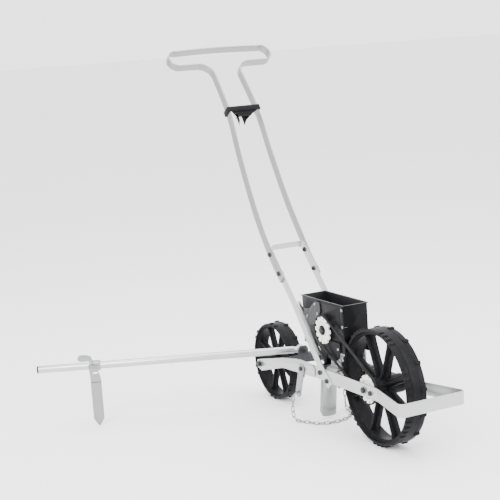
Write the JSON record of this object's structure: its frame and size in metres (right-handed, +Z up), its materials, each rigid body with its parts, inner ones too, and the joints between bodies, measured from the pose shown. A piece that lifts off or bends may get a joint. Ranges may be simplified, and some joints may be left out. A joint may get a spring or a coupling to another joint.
{
  "type": "push seeder",
  "caption": "Walk-behind seeder: spoked wheels in line, strip frame, belt-driven seed hopper, opener, drag chain, swinging row marker and long handle.",
  "frame": {"origin": "on the ground under the middle of the whole object's bounding box", "axes": "+X the way it travels, +Y its left-hand side, +Z up"},
  "size_m": [1.0642, 0.8506, 1.0298],
  "materials": {
    "aluminium": "satin mill finish",
    "black_plastic": "satin moulded",
    "black_steel": "black oxide",
    "coated_sheet": "satin black coat",
    "dark_bracket": "dark grey coat",
    "white_plastic": "satin moulded",
    "belt_rubber": "matt",
    "zinc_steel": "zinc plated"
  },
  "bodies": {
    "frame": {"front_frame": "aluminium", "rear_fork_right": "aluminium", "rear_fork_left": "aluminium", "chain_hanger_right": "aluminium", "chain_hanger_left": "aluminium", "lower_handle": "aluminium", "leg_angle_right": "aluminium", "leg_angle_left": "aluminium", "upper_handle": "aluminium", "hopper_bracket_right": "aluminium", "hopper_bracket_left": "aluminium", "handle_clip": "black_plastic", "seed_bush_right": "black_plastic", "seed_bush_left": "black_plastic", "front_axle": "black_steel", "rear_axle": "black_steel", "axle_adjuster_right": "black_steel", "axle_adjuster_left": "black_steel", "fork_bolt_right": "black_steel", "fork_bolt_left": "black_steel", "leg_bolt_right_1": "black_steel", "leg_bolt_right_2": "black_steel", "leg_bolt_left_1": "black_steel", "leg_bolt_left_2": "black_steel", "handle_bolt_right_1": "black_steel", "handle_bolt_right_2": "black_steel", "handle_bolt_left_1": "black_steel", "handle_bolt_left_2": "black_steel", "opener_screw": "black_steel", "marker_pivot_bolt": "black_steel", "hopper_body": "coated_sheet", "seed_chute": "coated_sheet", "hopper_cover": "dark_bracket", "opener_bridge": "dark_bracket", "marker_bracket": "dark_bracket", "drive_belt": "belt_rubber", "drag_chain": "zinc_steel", "chain_pin_right": "zinc_steel", "chain_pin_left": "zinc_steel", "cover_screw_1": "zinc_steel", "cover_screw_2": "zinc_steel", "cover_screw_3": "zinc_steel", "wall_screw_1": "zinc_steel", "wall_screw_2": "zinc_steel", "bracket_screw_right": "zinc_steel", "bracket_screw_left": "zinc_steel"},
    "front_wheel": {"front_wheel": "black_plastic", "front_sprocket": "white_plastic"},
    "rear_wheel": {"rear_wheel": "black_plastic"},
    "seed_drive": {"seed_sprocket": "white_plastic", "seed_sprocket_nut": "black_steel", "seed_shaft": "black_steel", "seed_roller": "white_plastic"},
    "marker_arm": {"marker_knuckle": "aluminium", "marker_arm": "aluminium", "marker_end_plug": "black_plastic"},
    "marker_blade": {"marker_blade": "aluminium", "marker_clamp_screw": "zinc_steel"},
    "opener": {"opener": "aluminium"}
  },
  "joints": [
    {"name": "front_wheel_spin", "type": "hinge", "parent": "frame", "child": "front_wheel", "pos_m": [0.31314, 0.25604, 0.1535], "axis": [0, 1, 0], "continuous": true},
    {"name": "rear_wheel_spin", "type": "hinge", "parent": "frame", "child": "rear_wheel", "pos_m": [-0.24786, 0.25604, 0.1142], "axis": [0, 1, 0], "continuous": true},
    {"name": "seed_drive_spin", "type": "hinge", "parent": "frame", "child": "seed_drive", "pos_m": [0.10344, 0.25604, 0.271], "axis": [0, 1, 0], "continuous": true},
    {"name": "marker_arm_swing", "type": "hinge", "parent": "frame", "child": "marker_arm", "pos_m": [-0.11086, 0.25604, 0.1715], "axis": [-1, 0, 0], "range_deg": [0, 180]},
    {"name": "marker_slide", "type": "slide", "parent": "marker_arm", "child": "marker_blade", "axis": [-0.4147, -0.91, 0], "range_m": [-0.38, 0.075]},
    {"name": "opener_height", "type": "slide", "parent": "frame", "child": "opener", "axis": [0.1464, 0, 0.9892], "range_m": [-0.01, 0.01]}
  ],
  "couplings": [
    {"joint": "seed_drive_spin", "follows": "front_wheel_spin", "ratio": 1}
  ]
}
